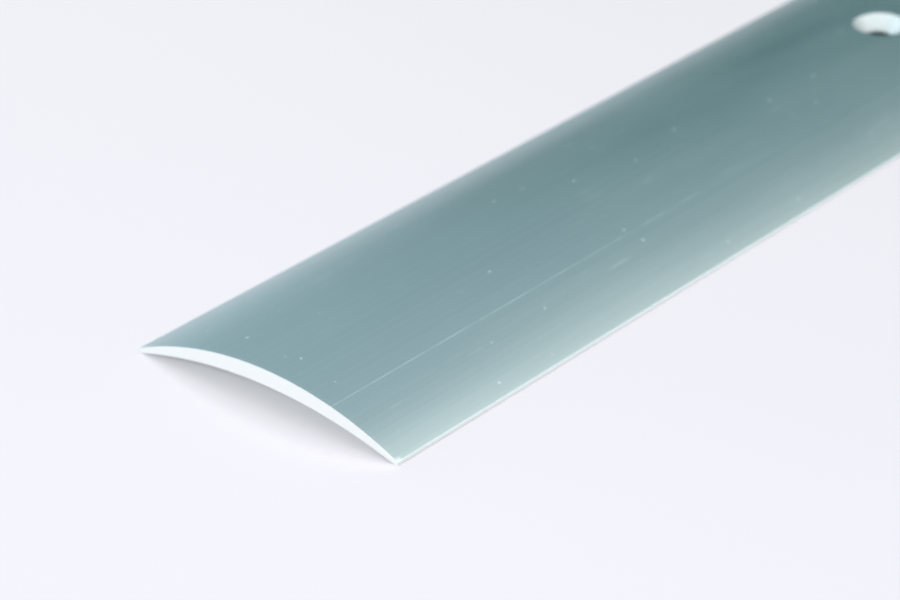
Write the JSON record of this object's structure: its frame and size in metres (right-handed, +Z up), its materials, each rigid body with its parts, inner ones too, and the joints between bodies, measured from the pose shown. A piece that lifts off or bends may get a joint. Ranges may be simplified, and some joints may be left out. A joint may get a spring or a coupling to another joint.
{
  "type": "threshold strip",
  "caption": "Domed aluminium threshold strip with countersunk screws and wall plugs, covering the joint between two floors in a doorway.",
  "frame": {"origin": "on the finished floor, under the middle of the strip's length and width", "axes": "+X along the strip, +Y across it, +Z up from the floor; the open screw hole is the one nearest the -X end"},
  "size_m": [1, 0.04, 0.0355],
  "materials": {
    "anodised_aluminium": "satin silver anodised, with fine die lines along its length and bare, brighter cut ends and countersinks",
    "screw_steel": "bright steel with a soft shine",
    "plug_nylon": "light grey moulded nylon"
  },
  "bodies": {
    "strip": {"strip_profile": "anodised_aluminium", "wall_plug_1": "plug_nylon", "wall_plug_2": "plug_nylon", "wall_plug_3": "plug_nylon", "wall_plug_4": "plug_nylon"},
    "screw_2": {"screw_2": "screw_steel"},
    "screw_3": {"screw_3": "screw_steel"},
    "screw_4": {"screw_4": "screw_steel"}
  },
  "joints": [
    {"name": "screw_2_travel", "type": "slide", "parent": "strip", "child": "screw_2", "axis": [0, 0, 1], "range_m": [0, 0.035]},
    {"name": "screw_3_travel", "type": "slide", "parent": "strip", "child": "screw_3", "axis": [0, 0, 1], "range_m": [0, 0.035]},
    {"name": "screw_4_travel", "type": "slide", "parent": "strip", "child": "screw_4", "axis": [0, 0, 1], "range_m": [0, 0.035]}
  ]
}
